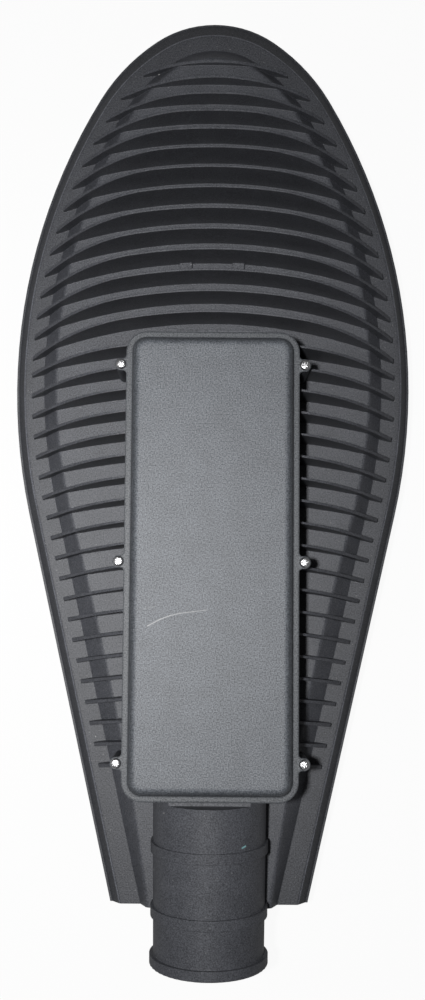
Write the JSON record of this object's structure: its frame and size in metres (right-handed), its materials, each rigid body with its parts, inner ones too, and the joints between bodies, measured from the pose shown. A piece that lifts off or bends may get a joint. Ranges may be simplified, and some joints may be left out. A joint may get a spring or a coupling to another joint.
{
  "type": "led street light head",
  "caption": "Leaf-shaped die-cast street lamp head with arched cooling fins, a rectangular driver box under a screwed cover and a tilted sleeve for a pole's spigot.",
  "frame": {"origin": "centre of the pole sleeve's mouth, on the axis of its bore", "axes": "+Y from the sleeve to the head's far tip, level with the rim; +Z towards the finned sky side, square to the rim's plane; X across the head"},
  "size_m": [0.2496, 0.595, 0.0978],
  "materials": {
    "powder_coat": "matt, fine grain",
    "bright_steel": "satin",
    "silicone": "matt",
    "case_metal": "satin",
    "white_plastic": "matt",
    "black_plastic": "matt",
    "brass": "satin",
    "board_metal": "satin",
    "phosphor": "satin",
    "mirror_bowl": "polished",
    "clear_glass": "clear"
  },
  "bodies": {
    "root": {"housing": "powder_coat", "driver_cover": "powder_coat", "cover_gasket": "silicone", "cover_screws": "bright_steel", "pole_bolts": "bright_steel", "pole_bolt_nuts": "bright_steel", "cord_grommet": "black_plastic", "lead_grommet": "black_plastic", "driver_case": "case_metal", "driver_end_plate_rear": "case_metal", "driver_end_plate_front": "case_metal", "driver_screws": "bright_steel", "driver_plate_screws": "bright_steel", "terminal_block": "white_plastic", "terminal_screws": "brass", "terminal_block_screws": "bright_steel", "earth_washer": "brass", "earth_screw": "brass", "cord_clamp": "black_plastic", "cord_clamp_screws": "bright_steel", "rear_cob_board": "board_metal", "rear_cob_emitter": "phosphor", "rear_cob_screws": "bright_steel", "rear_reflector": "mirror_bowl", "rear_lens_gasket": "silicone", "rear_lens_glass": "clear_glass", "rear_lens_frame": "powder_coat", "rear_lens_screws": "bright_steel", "front_cob_board": "board_metal", "front_cob_emitter": "phosphor", "front_cob_screws": "bright_steel", "front_reflector": "mirror_bowl", "front_lens_gasket": "silicone", "front_lens_glass": "clear_glass", "front_lens_frame": "powder_coat", "front_lens_screws": "bright_steel"}
  },
  "joints": []
}
